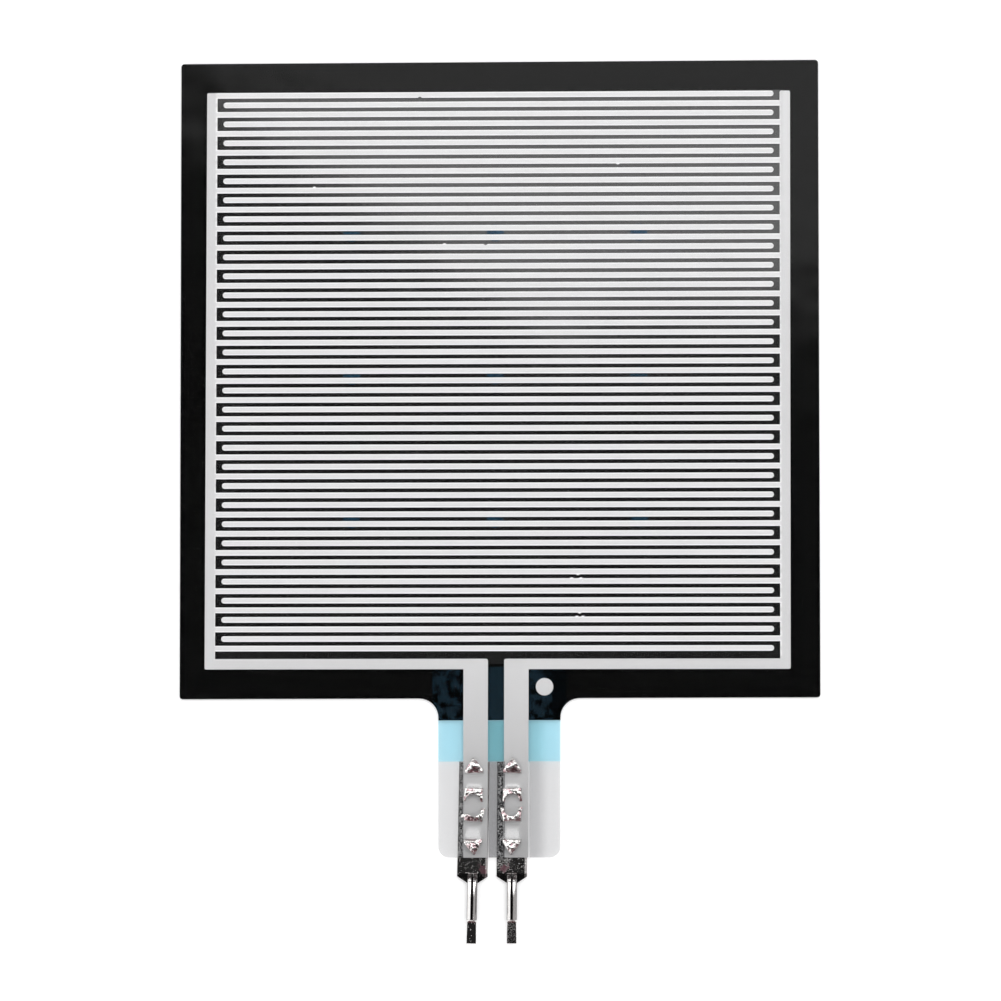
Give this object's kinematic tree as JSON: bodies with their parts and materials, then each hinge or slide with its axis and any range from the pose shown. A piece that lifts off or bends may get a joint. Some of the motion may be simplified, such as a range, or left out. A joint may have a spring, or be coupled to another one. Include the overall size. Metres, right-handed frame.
{
  "type": "force sensing resistor",
  "caption": "Thin square film force sensor with interleaved silver combs over a black carbon layer and a short tail with crimped pins.",
  "frame": {"origin": "centre of the square pad on the back film's outer face", "axes": "+Z out of the clear front film, +Y away from the tail, +X to the right with the silver side up"},
  "size_m": [0.04, 0.0553, 0.0007],
  "materials": {
    "front_film": "clear, slightly milky polyester film, glossy",
    "silver_ink": "printed silver ink, fine matt grain",
    "insulating_ink": "light blue insulating ink",
    "adhesive": "clear acrylic adhesive",
    "carbon_ink": "black carbon ink, satin",
    "back_film": "polyester film, black through its inner coating",
    "contact_metal": "bright tin plate on stamped strip"
  },
  "bodies": {
    "root": {"front_film": "front_film", "left_electrode": "silver_ink", "right_electrode": "silver_ink", "index_dot": "silver_ink", "tail_insulation": "insulating_ink", "spacer_dot_1": "insulating_ink", "spacer_dot_2": "insulating_ink", "spacer_dot_3": "insulating_ink", "spacer_dot_4": "insulating_ink", "spacer_dot_5": "insulating_ink", "spacer_dot_6": "insulating_ink", "spacer_dot_7": "insulating_ink", "spacer_dot_8": "insulating_ink", "spacer_dot_9": "insulating_ink", "spacer_adhesive": "adhesive", "carbon_layer": "carbon_ink", "back_film": "back_film", "left_contact": "contact_metal", "right_contact": "contact_metal"}
  },
  "joints": []
}
